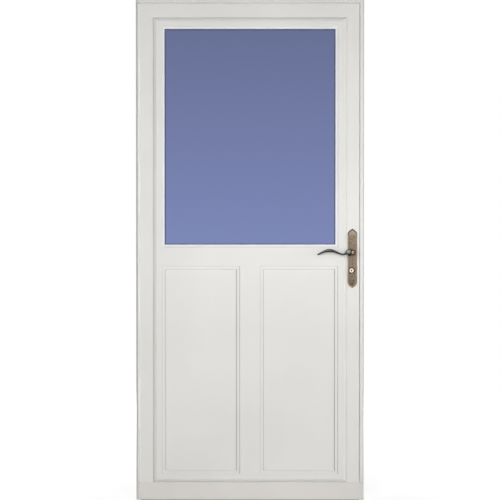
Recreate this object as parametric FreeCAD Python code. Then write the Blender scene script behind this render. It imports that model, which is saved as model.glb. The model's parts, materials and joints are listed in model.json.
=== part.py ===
import FreeCAD, Part
import math
import os
from FreeCAD import Vector

os.makedirs("parts", exist_ok=True)

# Storm door in its screw-on frame, in millimetres, +Z up.
# The weather side faces -Y, the hinges are at -X, and x = 0 is the middle of the doorway.

# Frame that is screwed to the face of the wall
unit_width = 936.0
unit_height = 2057.0
flange_width = 13.0
flange_metal = 3.5
flange_edge = 0.6
ridge_slope_width = 4.6
ridge_width = 5.4
ridge_tall = 7.0
ridge_above_band = 5.0
frame_metal = 2.0
frame_depth = 38.0
stop_reach = 12.0
screw_hole_radius = 2.25
screw_depth = 26.0
screw_end_margin = 90.0
screw_pairs = 3

# Door leaf made of hollow stiles and rails
side_gap = 6.0
head_gap = 5.0
leaf_proud = 6.5
leaf_thickness = 35.0
leaf_bottom = 10.0
stile_width = 51.0
top_rail_width = 57.0
bottom_rail_height = 63.5
tube_wall = 1.6
tube_round = 1.0

# Raised insert inside the stiles, with its shadow groove all round
groove_width = 7.5
groove_depth = 9.0
field_raise = 3.0
field_ledge = 3.0
field_step_width = 3.0
field_step_depth = 4.0
surround_width = 39.5
window_sill = 1043.0

# Two sunk panels with a double step below the window
panel_side = 36.5
panel_between = 82.0
panel_foot = 107.0
panel_below_sill = 80.0
panel_step_apart = 12.5
panel_outer_depth = 2.4
panel_inner_depth = 4.6
panel_step_slope = 3.0

# Window
glass_thickness = 4.0
glass_edge_room = 2.5
gasket_lip = 1.5
gasket_show = 3.5
bead_width = 8.0
bead_ease = 1.0
window_edge_slope = 4.0

# Bottom expander and its sweep
expander_metal = 2.0
expander_low = 4.0
expander_height = 68.0
expander_floor = 6.0
band_past_latch = 17.0
band_past_pin = 1.0
sweep_low = 0.5
sweep_fin = 1.8
sweep_web = 1.2

# Continuous hinge
pin_radius = 2.0
pin_room = 0.08
barrel_radius = 3.5
hinge_metal = 2.0
hinge_plate = 1.5
hinge_outboard = 3.0
hinge_above_band = 1.5
hinge_below_head = 8.0
knuckle_count = 9
knuckle_room = 1.0
barrel_room = 0.5
hinge_leaf_depth = 20.0

# Weather seals on the stops
seal_width = 7.0
seal_base = 2.0
seal_room = 1.5
seal_above_band = 5.0
fin_thickness = 3.0
fin_setback = 2.0
fin_above_band = 1.0
fin_room = 1.9
head_fin_room = 0.8

# Handle set
plate_from_edge = 29.0
plate_width = 39.0
plate_above_lever = 97.5
plate_below_lever = 145.5
plate_shoulder = 25.0
plate_thickness = 6.0
plate_bevel = 3.0
plate_border = 7.0
plate_sink = 1.2
lever_height = 1018.5
collar_radius = 14.0
collar_tall = 3.0
neck_radius = 8.0
neck_room = 0.5
lever_reach = 145.0
arm_arcs = 8
lever_standoff = 36.0
spindle_side = 8.0
cylinder_below_lever = 73.5
cylinder_from_middle = 3.5
cylinder_radius = 12.5
cylinder_proud = 3.5
plug_radius = 9.8
plug_room = 0.3
plug_proud = 0.5
key_eye_radius = 3.1
key_slot_width = 2.0
tail_thickness = 2.5
tail_width = 7.0
turn_length = 30.0
lock_plate_margin = 58.0
lock_plate_width = 22.0
lock_plate_metal = 2.0
lock_box_depth = 16.0

# Places that follow from the sizes above
half_unit = unit_width / 2
web_in = half_unit - flange_width
web_out = web_in + frame_metal
stop_in = web_in - stop_reach
stop_front = frame_depth - frame_metal
head_under = unit_height - flange_width
leaf_half = web_in - side_gap
leaf_top = head_under - head_gap
leaf_front = -flange_metal - leaf_proud
leaf_back = leaf_front + leaf_thickness
leaf_mid = (leaf_front + leaf_back) / 2
stile_in = leaf_half - stile_width
rail_under = leaf_top - top_rail_width
bottom_rail_top = leaf_bottom + bottom_rail_height
core_front = leaf_front + groove_depth
core_back = leaf_back - groove_depth
field_front = leaf_front - field_raise
field_back = leaf_back + field_raise
field_half = stile_in - groove_width
window_half = stile_in - surround_width
window_top = rail_under - surround_width
plate_x = leaf_half - plate_from_edge
lock_x = plate_x - cylinder_from_middle
plate_low = lever_height - plate_below_lever
plate_high = lever_height + plate_above_lever
cylinder_height = lever_height - cylinder_below_lever
hinge_x = -web_in - hinge_outboard
hinge_y = -flange_metal - hinge_plate - barrel_room - barrel_radius
flange_mid_x = half_unit - flange_width / 2
expander_high = expander_low + expander_height
up = Vector(0, 0, 1)


def save(name, shape):
    # The shared origin is on the back of the hinge-side flange, at its foot
    shape = shape.removeSplitter()
    shape.translate(Vector(flange_mid_x, 0, 0))
    shape.exportStep("parts/" + name + ".step")


def block(x0, x1, y0, y1, z0, z1):
    return Part.makeBox(x1 - x0, y1 - y0, z1 - z0, Vector(x0, y0, z0))


def flat(points):
    # A flat face bounded by straight edges through the points
    return Part.Face(Part.makePolygon([Vector(*p) for p in points] + [Vector(*points[0])]))


def upright(outline, z0, z1):
    # A plan outline of (x, y) points carried up from z0 to z1
    return flat([(x, y, z0) for x, y in outline]).extrude(Vector(0, 0, z1 - z0))


def level(outline, x0, x1):
    # A side outline of (y, z) points carried along X from x0 to x1
    return flat([(x0, y, z) for y, z in outline]).extrude(Vector(x1 - x0, 0, 0))


def pin_along_y(x, z, y0, y1, radius):
    return Part.makeCylinder(radius, y1 - y0, Vector(x, y0, z), Vector(0, 1, 0))


def pin_along_z(x, y, z0, z1, radius):
    return Part.makeCylinder(radius, z1 - z0, Vector(x, y, z0), up)


def trim(shape, point, normal):
    # Cut away all that lies beyond the plane through the point, on the side the normal points to
    size = 3 * unit_height
    tool = Part.makeBox(size, size, size, Vector(-size / 2, -size / 2, 0))
    turn = FreeCAD.Rotation(up, Vector(*normal))
    tool.Placement = FreeCAD.Placement(Vector(*point), turn).multiply(tool.Placement)
    return shape.cut(tool)


def flip_x(shape):
    return shape.mirror(Vector(0, 0, 0), Vector(1, 0, 0))


def rounded(x0, x1, y0, y1, radius):
    # Plan outline of a rectangle with rounded corners
    box = Part.makePlane(x1 - x0, y1 - y0, Vector(x0, y0, 0))
    shape = box.extrude(up)
    posts = [e for e in shape.Edges if abs(e.tangentAt(e.FirstParameter).z) > 0.9]
    shape = shape.makeFillet(radius, posts)
    low = [f for f in shape.Faces if abs(f.CenterOfMass.z) < 1e-6]
    return low[0]


def tube(x0, x1, y0, y1):
    outer = rounded(x0, x1, y0, y1, tube_round)
    corner = Vector(x0 + tube_wall, y0 + tube_wall, 0)
    inner = Part.makePlane(x1 - x0 - 2 * tube_wall, y1 - y0 - 2 * tube_wall, corner)
    return outer.cut(inner)


# Frame: Z-shaped sections, mitred at the corners
def frame_section(outer, sense, hinged):
    # Section as (distance, y) from the outer edge: wall flange with a sloped edge, web and stop
    if hinged:
        # The hinge side keeps a low flange behind a ridge, as the seat of the hinge
        front = [
            ((ridge_slope_width + ridge_width) / 2, -ridge_tall),
            (ridge_width, -flange_metal),
            (flange_width, -flange_metal),
        ]
    else:
        front = [(flange_width, -ridge_tall)]
    steps = [(0, 0), (0, -flange_edge), (ridge_slope_width, -ridge_tall)] + front + [
        (flange_width, stop_front),
        (flange_width + stop_reach, stop_front),
        (flange_width + stop_reach, frame_depth),
        (flange_width - frame_metal, frame_depth),
        (flange_width - frame_metal, 0),
    ]
    return [(outer + sense * step, y) for step, y in steps]


ridge_foot = block(web_in - 1, half_unit + 1, -ridge_tall - 1, -flange_metal,
                   -1, expander_high + ridge_above_band)
screw_step = (head_under - 2 * screw_end_margin) / (2 * screw_pairs - 1)
screw_heights = [screw_end_margin + number * screw_step for number in range(2 * screw_pairs)]



def jamb(hinged):
    post = upright(frame_section(half_unit, -1, hinged), 0, unit_height)
    post = trim(post, (half_unit, 0, unit_height), (-1, 0, 1)).cut(ridge_foot)
    for height in screw_heights:
        start = Vector(web_in - frame_metal, screw_depth, height)
        post = post.cut(Part.makeCylinder(screw_hole_radius, 4 * frame_metal, start, Vector(1, 0, 0)))
    return post


strike_low = cylinder_height - lock_plate_margin
strike_high = lever_height + lock_plate_margin
strike_y0 = leaf_mid - lock_plate_width / 2
strike_y1 = leaf_mid + lock_plate_width / 2
strike_pocket = block(web_in - 1, web_out + 1, strike_y0, strike_y1, strike_low, strike_high)
save("hinge_jamb", flip_x(jamb(True)))
save("latch_jamb", jamb(False).cut(strike_pocket))

head = level([(y, z) for z, y in frame_section(unit_height, -1, False)], -half_unit, half_unit)
head = trim(head, (half_unit, 0, unit_height), (1, 0, -1))
head = trim(head, (-half_unit, 0, unit_height), (-1, 0, -1))
save("head_jamb", head)

bolt_half_width = lock_plate_width / 2 - 4
latch_slot = block(web_in - 1, web_out + 1, leaf_mid - bolt_half_width, leaf_mid + bolt_half_width,
                   lever_height - 12, lever_height + 12)
dead_slot = block(web_in - 1, web_out + 1, leaf_mid - bolt_half_width, leaf_mid + bolt_half_width,
                  cylinder_height - 15, cylinder_height + 15)
strike = block(web_in, web_out, strike_y0, strike_y1, strike_low, strike_high)
save("strike_plate", strike.cut(latch_slot).cut(dead_slot))

# Seals: a flat base on the stop and a soft bulb towards the leaf
seal_tip = leaf_back + seal_room
seal_mid = (stop_in + leaf_half) / 2


def seal_outline(mid):
    base = stop_front - seal_base
    half = seal_width / 2
    side = Part.makePolygon([
        Vector(mid - half / 2, base, 0),
        Vector(mid - half, base, 0),
        Vector(mid - half, stop_front, 0),
        Vector(mid + half, stop_front, 0),
        Vector(mid + half, base, 0),
        Vector(mid + half / 2, base, 0),
    ])
    bulb = Part.Arc(
        Vector(mid + half / 2, base, 0),
        Vector(mid, seal_tip, 0),
        Vector(mid - half / 2, base, 0),
    )
    return Part.Face(Part.Wire(side.Edges + [bulb.toShape()]))


seal_foot = expander_high + seal_above_band
seal = seal_outline(seal_mid).extrude(Vector(0, 0, head_under - seal_foot))
seal.translate(Vector(0, 0, seal_foot))
save("latch_seal", seal)
save("hinge_seal", flip_x(seal))
head_seal_half = seal_mid - seal_width / 2 - 0.5
head_seal = seal_outline(0).extrude(Vector(0, 0, 2 * head_seal_half))
head_seal.rotate(Vector(0, 0, 0), Vector(0, 1, 0), 90)
head_seal.translate(Vector(-head_seal_half, 0, head_under - stop_reach + seal_width / 2 + 1))
save("head_seal", head_seal)

# Edge fins that fill most of the gap beside and above the leaf
fin_reach = side_gap - fin_room
fin_front = leaf_front + fin_setback
fin_back = -flange_metal + fin_thickness
fin_foot = expander_high + fin_above_band
latch_fin = block(web_in - fin_reach, web_in, fin_front, fin_back, fin_foot, head_under)
head_fin_reach = head_gap - head_fin_room
head_fin = block(-leaf_half, web_in - fin_reach, fin_front, fin_back, head_under - head_fin_reach, head_under)
save("latch_fin", latch_fin)
save("head_fin", head_fin)

# Continuous hinge: a plate on the flange, a plate on the edge of the leaf, shared knuckles and the pin
hinge_low = expander_high + hinge_above_band
hinge_high = head_under - hinge_below_head
pitch = (hinge_high - hinge_low) / knuckle_count
plate_front = -flange_metal - hinge_plate
frame_leaf = block(-half_unit + ridge_width, -web_in, plate_front, -flange_metal, hinge_low, hinge_high)
door_edge = -leaf_half - hinge_metal
door_leaf = block(door_edge, -leaf_half, hinge_y, hinge_leaf_depth, hinge_low, hinge_high)
lip_edge = hinge_x + barrel_radius + barrel_room
door_leaf = door_leaf.fuse(block(lip_edge, door_edge, hinge_y, hinge_y + hinge_metal, hinge_low, hinge_high))
for number in range(knuckle_count):
    low = hinge_low + number * pitch + knuckle_room / 2
    high = hinge_low + (number + 1) * pitch - knuckle_room / 2
    knuckle = pin_along_z(hinge_x, hinge_y, low, high, barrel_radius)
    if number % 2 == 0:
        lug = block(hinge_x - barrel_radius, hinge_x, hinge_y, plate_front, low, high)
        frame_leaf = frame_leaf.fuse(lug.fuse(knuckle))
    else:
        lug = block(hinge_x, door_edge, hinge_y, hinge_y + hinge_metal, low, high)
        door_leaf = door_leaf.fuse(lug.fuse(knuckle))
bore = pin_along_z(hinge_x, hinge_y, hinge_low - 1, hinge_high + 1, pin_radius + pin_room)
save("hinge_frame_leaf", frame_leaf.cut(bore))
save("hinge_door_leaf", door_leaf.cut(bore))
pin = pin_along_z(hinge_x, hinge_y, hinge_low, hinge_high, pin_radius)
pin_head = pin_along_z(hinge_x, hinge_y, hinge_high, hinge_high + 2, barrel_radius)
save("hinge_pin", pin.fuse(pin_head))

# Leaf: hollow stiles and top rail mitred at the upper corners, bottom rail between the stiles
stile = tube(stile_in, leaf_half, leaf_front, leaf_back)
stile.translate(Vector(0, 0, leaf_bottom))
stile = stile.extrude(Vector(0, 0, leaf_top - leaf_bottom))
stile = trim(stile, (stile_in, 0, rail_under), (-1, 0, 1))
save("hinge_stile", flip_x(stile))

spindle_hole = pin_along_y(plate_x, lever_height, leaf_front - 1, leaf_back + 1, neck_radius + 1)
cylinder_hole = pin_along_y(lock_x, cylinder_height, leaf_front - 1, leaf_back + 1, cylinder_radius)
lock_pocket = block(leaf_half - lock_plate_metal, leaf_half + 1, strike_y0, strike_y1,
                    strike_low, strike_high)
lock_mouth = block(leaf_half - lock_box_depth, leaf_half + 1, strike_y0 + 2, strike_y1 - 2,
                   strike_low + 15, strike_high - 15)
latch_stile = stile.cut(spindle_hole).cut(cylinder_hole).cut(lock_pocket).cut(lock_mouth)
save("latch_stile", latch_stile)

rail = tube(rail_under, leaf_top, leaf_front, leaf_back)
rail = rail.extrude(Vector(0, 0, 2 * leaf_half))
rail.rotate(Vector(0, 0, 0), Vector(0, 1, 0), -90)
rail.translate(Vector(leaf_half, 0, 0))
rail = trim(rail, (stile_in, 0, rail_under), (1, 0, -1))
rail = trim(rail, (-stile_in, 0, rail_under), (-1, 0, -1))
save("top_rail", rail)

low_rail = tube(leaf_bottom, bottom_rail_top, leaf_front, leaf_back)
low_rail = low_rail.extrude(Vector(0, 0, 2 * stile_in))
low_rail.rotate(Vector(0, 0, 0), Vector(0, 1, 0), -90)
low_rail.translate(Vector(stile_in, 0, 0))
save("bottom_rail", low_rail)

# Insert: one slab with a stepped edge and raised faces, cut into kick panel and window surround
def field_outline(a, b):
    # Section across the slab from edge a to edge b, as (distance, y)
    a_field = a + groove_width
    b_field = b - groove_width
    a_step = a_field + field_ledge
    b_step = b_field - field_ledge
    run = field_step_width
    points = []
    for core, face, ledge in ((core_front, field_front, field_front + field_step_depth),
                              (core_back, field_back, field_back - field_step_depth)):
        side = [(a, core), (a_field, ledge), (a_step, ledge), (a_step + run, face)]
        side += [(b_step - run, face), (b_step, ledge), (b_field, ledge), (b, core)]
        points += side if not points else side[::-1]
    return points


across = upright(field_outline(-stile_in, stile_in), bottom_rail_top, rail_under)
along = level([(y, z) for z, y in field_outline(bottom_rail_top, rail_under)], -stile_in, stile_in)
insert = across.common(along)


def sloped_recess(x0, x1, z0, z1, y_face, y_floor, slope):
    # A rectangular recess whose four walls slope inwards to the floor
    wires = []
    for y, inset in ((y_face, 0.0), (y_floor, slope)):
        corners = [
            Vector(x0 + inset, y, z0 + inset),
            Vector(x1 - inset, y, z0 + inset),
            Vector(x1 - inset, y, z1 - inset),
            Vector(x0 + inset, y, z1 - inset),
        ]
        wires.append(Part.makePolygon(corners + [corners[0]]))
    return Part.makeLoft(wires, True, True)


for face, foot in ((field_front, leaf_front), (field_back, leaf_back)):
    edge = window_edge_slope
    insert = insert.cut(sloped_recess(-window_half - edge, window_half + edge, window_sill - edge,
                                      window_top + edge, face, foot, edge))
kick = trim(insert, (0, 0, window_sill), (0, 0, 1))
for side in (-1, 1):
    x_far = side * (stile_in - panel_side)
    x_near = side * panel_between / 2
    x0 = min(x_far, x_near)
    x1 = max(x_far, x_near)
    z0 = panel_foot
    z1 = window_sill - panel_below_sill
    for face, sense in ((field_front, 1), (field_back, -1)):
        ledge = face + sense * panel_outer_depth
        floor = ledge + sense * panel_inner_depth
        kick = kick.cut(sloped_recess(x0, x1, z0, z1, face, ledge, panel_step_slope))
        d = panel_step_apart
        kick = kick.cut(sloped_recess(x0 + d, x1 - d, z0 + d, z1 - d, ledge, floor, panel_step_slope))
save("kick_panel", kick)

surround = trim(insert, (0, 0, window_sill), (0, 0, -1))
window_hole = block(-window_half, window_half, field_front - 1, field_back + 1, window_sill - 1, window_top)
surround = surround.cut(window_hole)
latch_mitre = ((window_half, 0, window_top), (-1, 0, 1))
side_piece = trim(trim(surround, (0, 0, 0), (-1, 0, 0)), *latch_mitre)
save("surround_latch", side_piece)
save("surround_hinge", flip_x(side_piece))
top_piece = trim(surround, (window_half, 0, window_top), (1, 0, -1))
top_piece = trim(top_piece, (-window_half, 0, window_top), (-1, 0, -1))
save("surround_top", top_piece)

# Window: pane in a grooved gasket, held by mitred beads on both faces
glass_front = leaf_mid - glass_thickness / 2
glass_back = leaf_mid + glass_thickness / 2
gasket_front = glass_front - gasket_lip
gasket_back = glass_back + gasket_lip
pane_half = window_half - glass_edge_room
pane_low = window_sill + glass_edge_room
pane_high = window_top - glass_edge_room
pane = block(-pane_half, pane_half, glass_front, glass_back, pane_low, pane_high)
save("glass_pane", pane)

gasket_in = bead_width + gasket_show
gasket = block(-window_half, window_half, gasket_front, gasket_back, window_sill, window_top)
gasket_hole = block(-window_half + gasket_in, window_half - gasket_in, gasket_front - 1, gasket_back + 1,
                    window_sill + gasket_in, window_top - gasket_in)
save("glass_gasket", gasket.cut(gasket_hole).cut(pane))


def bead_outline(y_seat, y_face):
    # Bead section as (distance in from the window edge, y): flat face with both corners eased
    sense = 1 if y_seat > y_face else -1
    return [
        (0, y_seat),
        (0, y_face + sense * bead_ease),
        (bead_ease, y_face),
        (bead_width - bead_ease, y_face),
        (bead_width, y_face + sense * bead_ease),
        (bead_width, y_seat),
    ]


def bead_set(prefix, y_seat, y_face):
    outline = bead_outline(y_seat, y_face)
    post = upright([(window_half - u, y) for u, y in outline], window_sill, window_top)
    post = trim(post, (window_half, 0, window_top), (-1, 0, 1))
    post = trim(post, (window_half, 0, window_sill), (-1, 0, -1))
    save(prefix + "_latch", post)
    save(prefix + "_hinge", flip_x(post))
    for place, edge, sense in (("top", window_top, -1), ("sill", window_sill, 1)):
        bar = level([(y, edge + sense * u) for u, y in outline], -window_half, window_half)
        bar = trim(bar, (window_half, 0, edge), (1, 0, sense))
        bar = trim(bar, (-window_half, 0, edge), (-1, 0, sense))
        save(prefix + "_" + place, bar)


bead_set("outer_bead", gasket_front, leaf_front)
bead_set("inner_bead", gasket_back, leaf_back)

# Bottom expander: a U-shaped channel over the foot of the leaf, its front wall wider than the leaf
lip = expander_metal
channel = level(
    [
        (leaf_front - lip, expander_low),
        (leaf_front, expander_low),
        (leaf_front, expander_floor),
        (leaf_back, expander_floor),
        (leaf_back, expander_low),
        (leaf_back + lip, expander_low),
        (leaf_back + lip, expander_high),
        (leaf_back, expander_high),
        (leaf_back, expander_floor + lip),
        (leaf_front, expander_floor + lip),
        (leaf_front, expander_high - lip),
        (leaf_front, expander_high),
        (leaf_front - lip * 0.4, expander_high),
        (leaf_front - lip, expander_high - lip * 0.6),
    ],
    -leaf_half,
    leaf_half,
)
band = level(
    [
        (leaf_front - lip, expander_low),
        (leaf_front, expander_low),
        (leaf_front, expander_high),
        (leaf_front - lip * 0.4, expander_high),
        (leaf_front - lip, expander_high - lip * 0.6),
    ],
    hinge_x - band_past_pin,
    leaf_half + band_past_latch,
)
save("bottom_expander", channel.fuse(band))

# Sweep: a soft web under the channel with a fin below each of its walls
sweep = block(-leaf_half, leaf_half, leaf_front, leaf_back, expander_floor - sweep_web, expander_floor)
for wall, sense in ((leaf_front, -1), (leaf_back, 1)):
    fin = level(
        [
            (wall + sense * expander_metal * 0.9, expander_low),
            (wall + sense * expander_metal * 0.6, sweep_low),
            (wall - sense * sweep_fin * 0.3, sweep_low),
            (wall - sense * sweep_fin, expander_low),
            (wall - sense * sweep_fin, expander_floor),
            (wall, expander_floor),
            (wall, expander_low),
        ],
        -leaf_half,
        leaf_half,
    )
    sweep = sweep.fuse(fin)
save("bottom_sweep", sweep)


# Handle plates: a long plate with a pointed arch at each end, bevelled edge and sunk middle
def plate_wire(y, inset):
    half = plate_width / 2 - inset
    mid = (plate_low + plate_high) / 2
    tall = (plate_high - plate_low) / 2 - inset * 1.6
    shoulder = (plate_high - plate_low) / 2 - plate_shoulder - inset * 0.2
    edges = []
    corners = []
    for sense in (1, -1):
        # Each side of the arch is an arc about a point on the line of the shoulders
        rise = tall - shoulder
        past_middle = (rise ** 2 - half ** 2) / (2 * half)
        radius = half + past_middle
        turn = math.atan2(rise, past_middle) / 2
        foot = Vector(plate_x + half, y, mid + sense * shoulder)
        bend_x = plate_x - past_middle + radius * math.cos(turn)
        bend = Vector(bend_x, y, mid + sense * (shoulder + radius * math.sin(turn)))
        point = Vector(plate_x, y, mid + sense * tall)
        far_foot = Vector(2 * plate_x - foot.x, y, foot.z)
        far_bend = Vector(2 * plate_x - bend.x, y, bend.z)
        edges.append(Part.Arc(foot, bend, point).toShape())
        edges.append(Part.Arc(far_foot, far_bend, point).toShape())
        corners.append((foot, far_foot))
    edges.append(Part.makeLine(corners[0][0], corners[1][0]))
    edges.append(Part.makeLine(corners[0][1], corners[1][1]))
    return Part.Wire(Part.__sortEdges__(edges))


def handle_plate(y_seat, sense):
    # sense is -1 on the weather side and +1 indoors
    y_rim = y_seat + sense * (plate_thickness - plate_bevel)
    y_face = y_seat + sense * plate_thickness
    y_sunk = y_face - sense * plate_sink
    rim = Part.Face(plate_wire(y_seat, 0.0)).extrude(Vector(0, y_rim - y_seat, 0))
    bevel = Part.makeLoft([plate_wire(y_rim, 0.0), plate_wire(y_face, plate_bevel)], True, True)
    sunk = Part.Face(plate_wire(y_face, plate_border)).extrude(Vector(0, y_sunk - y_face, 0))
    plate = rim.fuse(bevel).cut(sunk)
    y0 = min(y_sunk, y_face + sense * collar_tall)
    y1 = max(y_sunk, y_face + sense * collar_tall)
    plate = plate.fuse(pin_along_y(plate_x, lever_height, y0, y1, collar_radius))
    y0 = min(y_seat, y_face + sense * collar_tall) - 1
    y1 = max(y_seat, y_face + sense * collar_tall) + 1
    plate = plate.cut(pin_along_y(plate_x, lever_height, y0, y1, neck_radius + neck_room))
    return plate


outer_face = leaf_front - plate_thickness
inner_face = leaf_back + plate_thickness
outer_plate = handle_plate(leaf_front, -1)
cylinder_cut = pin_along_y(lock_x, cylinder_height, outer_face - 1, leaf_front + 1, cylinder_radius)
outer_plate = outer_plate.cut(cylinder_cut)
save("outer_escutcheon", outer_plate)
inner_plate = handle_plate(leaf_back, 1)
turn_neck = tail_width / 2 + 1.5
inner_plate = inner_plate.cut(
    pin_along_y(lock_x, cylinder_height, leaf_back - 1, inner_face + 1, turn_neck + neck_room))
save("inner_escutcheon", inner_plate)


# Levers: a turned hub and an S-shaped arm, shaped by its side view and its plan
def smooth(points):
    # A chain of arcs that follows the smooth curve through the points
    curve = Part.BSplineCurve()
    curve.interpolate(points)
    marks = curve.discretize(Number=2 * arm_arcs + 1)
    marks[0] = points[0]
    marks[-1] = points[-1]
    return [Part.Arc(marks[i], marks[i + 1], marks[i + 2]).toShape() for i in range(0, 2 * arm_arcs, 2)]


def between(first, second):
    # The flat face between two smooth edges, closed by straight ends
    ends = [Part.makeLine(first[0], second[0]), Part.makeLine(first[-1], second[-1])]
    return Part.Face(Part.Wire(Part.__sortEdges__(smooth(first) + smooth(second) + ends)))


# Arm stations as (share of the reach, rise, half height), with an even taper in depth
arm_stations = (
    (0.00, 0.0, 10.0),
    (0.09, 0.0, 13.6),
    (0.165, -1.5, 9.0),
    (0.21, -5.0, 4.8),
    (0.28, -6.8, 3.2),
    (0.38, -3.6, 3.0),
    (0.51, 3.0, 4.4),
    (0.66, 8.0, 6.2),
    (0.82, 2.4, 4.8),
    (0.96, -6.2, 3.0),
    (1.00, -8.9, 1.8),
)
arm_root_depth = 15.0
arm_tip_depth = 6.0


def lever(face, sense):
    # face is the front of the handle plate, sense is -1 on the weather side and +1 indoors
    arm_y = face + sense * lever_standoff
    foot = face - sense * (plate_thickness - plate_sink)
    knob = neck_radius * 1.4
    outline = [
        (0, foot),
        (neck_radius, foot),
        (neck_radius, face + sense * (collar_tall + 1)),
        (neck_radius * 0.9, face + sense * lever_standoff * 0.4),
        (knob, arm_y - sense * knob * 0.6),
        (knob, arm_y + sense * knob * 0.2),
        (knob * 0.72, arm_y + sense * knob * 0.7),
        (0, arm_y + sense * knob * 0.85),
    ]
    half_section = flat([(plate_x + r, y, lever_height) for r, y in outline])
    hub = half_section.revolve(Vector(plate_x, 0, lever_height), Vector(0, 1, 0), 360)
    upper = []
    lower = []
    for share, rise, half_height in arm_stations:
        x = plate_x - share * lever_reach
        upper.append(Vector(x, arm_y - lever_standoff, lever_height + rise + half_height))
        lower.append(Vector(x, arm_y - lever_standoff, lever_height + rise - half_height))
    side_view = between(upper, lower).extrude(Vector(0, 2 * lever_standoff, 0))
    tip_x = plate_x - lever_reach
    plan = upright(
        [
            (plate_x, arm_y - arm_root_depth / 2),
            (plate_x, arm_y + arm_root_depth / 2),
            (tip_x, arm_y + arm_tip_depth / 2),
            (tip_x, arm_y - arm_tip_depth / 2),
        ],
        lever_height - lever_reach,
        lever_height + lever_reach,
    )
    arm = side_view.common(plan)
    return hub.fuse(arm)


outer_lever = lever(outer_face, -1)
inner_lever = lever(inner_face, 1)
half_bar = spindle_side / 2
spindle = block(plate_x - half_bar, plate_x + half_bar, outer_face - 12, inner_face + 12,
                lever_height - half_bar, lever_height + half_bar)
save("outer_lever", outer_lever.cut(spindle))
save("inner_lever", inner_lever.cut(spindle))
save("lever_spindle", spindle)

# Key cylinder with its turning plug, the flat tail behind it and the thumb turn indoors
cylinder_front = outer_face - cylinder_proud
housing = pin_along_y(lock_x, cylinder_height, cylinder_front, leaf_mid, cylinder_radius)
housing = housing.cut(
    pin_along_y(lock_x, cylinder_height, cylinder_front - 1, leaf_mid + 1, plug_radius + plug_room))
save("key_cylinder", housing)
plug = pin_along_y(lock_x, cylinder_height, outer_face - plug_proud, leaf_mid, plug_radius)
plug_front = outer_face - plug_proud
rims = [e for e in plug.Edges if abs(e.CenterOfMass.y - plug_front) < 1e-6 and len(e.Vertexes) == 1]
plug = plug.makeChamfer(1.0, rims[:1])
keyway = block(lock_x - key_slot_width / 2, lock_x + key_slot_width / 2, plug_front - 1, outer_face + 8,
               cylinder_height - 5.5, cylinder_height + 1.0)
key_eye = pin_along_y(lock_x, cylinder_height + 1.0, plug_front - 1, outer_face + 8, key_eye_radius)
save("key_plug", plug.cut(keyway).cut(key_eye))
turn_face = inner_face + 2.0
tail = block(lock_x - tail_thickness / 2, lock_x + tail_thickness / 2, leaf_mid, turn_face + 6,
             cylinder_height - tail_width / 2, cylinder_height + tail_width / 2)
save("lock_tail", tail)
turn_boss = pin_along_y(lock_x, cylinder_height, turn_face, turn_face + 6, 11.0)
turn_stem = pin_along_y(lock_x, cylinder_height, leaf_back, turn_face, turn_neck)
turn_grip = block(lock_x - 3.5, lock_x + 3.5, turn_face + 6, turn_face + 22,
                  cylinder_height - turn_length / 2, cylinder_height + turn_length / 2)
grip_edges = [e for e in turn_grip.Edges if e.Length < 20 and abs(e.tangentAt(e.FirstParameter).x) > 0.9]
turn_grip = turn_grip.makeFillet(3.0, grip_edges)
save("thumb_turn", turn_boss.fuse(turn_stem).fuse(turn_grip).cut(tail))

# Lock box in the latch stile: face plate with latch bolt and dead bolt drawn in flush
lock_plate = block(leaf_half - lock_plate_metal, leaf_half, strike_y0, strike_y1, strike_low, strike_high)
lock_body = block(leaf_half - lock_box_depth, leaf_half - lock_plate_metal, strike_y0 + 2, strike_y1 - 2,
                  strike_low + 15, strike_high - 15)
lock_box = lock_plate.fuse(lock_body)
for low, high in ((lever_height - 11, lever_height + 11), (cylinder_height - 14, cylinder_height + 14)):
    outline = block(leaf_half - 1.0, leaf_half + 1, leaf_mid - bolt_half_width,
                    leaf_mid + bolt_half_width, low, high)
    bolt = block(leaf_half - 2.0, leaf_half + 2, leaf_mid - bolt_half_width + 0.8,
                 leaf_mid + bolt_half_width - 0.8, low + 0.8, high - 0.8)
    lock_box = lock_box.cut(outline.cut(bolt))
save("lock_box", lock_box)
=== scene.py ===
"""Looks of a white aluminium storm door in its screw-on frame, with a tall window and a brass lever."""
import json
import math

import bmesh
import bpy
import numpy as np
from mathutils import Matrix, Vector


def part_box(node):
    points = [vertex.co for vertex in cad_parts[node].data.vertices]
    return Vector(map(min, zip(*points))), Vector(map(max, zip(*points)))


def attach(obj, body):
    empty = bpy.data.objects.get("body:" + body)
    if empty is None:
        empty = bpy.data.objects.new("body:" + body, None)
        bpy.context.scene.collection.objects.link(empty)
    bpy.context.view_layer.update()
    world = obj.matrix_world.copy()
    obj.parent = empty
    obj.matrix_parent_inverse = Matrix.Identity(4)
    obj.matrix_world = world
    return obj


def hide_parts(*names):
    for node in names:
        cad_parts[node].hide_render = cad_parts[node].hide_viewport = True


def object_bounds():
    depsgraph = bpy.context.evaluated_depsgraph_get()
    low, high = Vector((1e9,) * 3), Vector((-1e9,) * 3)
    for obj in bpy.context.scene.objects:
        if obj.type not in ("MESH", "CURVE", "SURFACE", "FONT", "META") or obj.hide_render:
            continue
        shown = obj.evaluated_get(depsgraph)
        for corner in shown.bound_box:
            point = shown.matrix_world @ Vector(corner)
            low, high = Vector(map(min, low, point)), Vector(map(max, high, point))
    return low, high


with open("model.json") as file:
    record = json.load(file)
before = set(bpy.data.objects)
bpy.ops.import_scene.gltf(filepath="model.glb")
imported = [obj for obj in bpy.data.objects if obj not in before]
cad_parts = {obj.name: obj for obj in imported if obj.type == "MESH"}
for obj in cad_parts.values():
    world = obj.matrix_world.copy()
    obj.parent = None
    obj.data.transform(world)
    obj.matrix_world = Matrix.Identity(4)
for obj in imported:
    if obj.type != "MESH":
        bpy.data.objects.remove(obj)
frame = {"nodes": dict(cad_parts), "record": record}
cad_box = [list(corner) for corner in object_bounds()]
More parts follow.
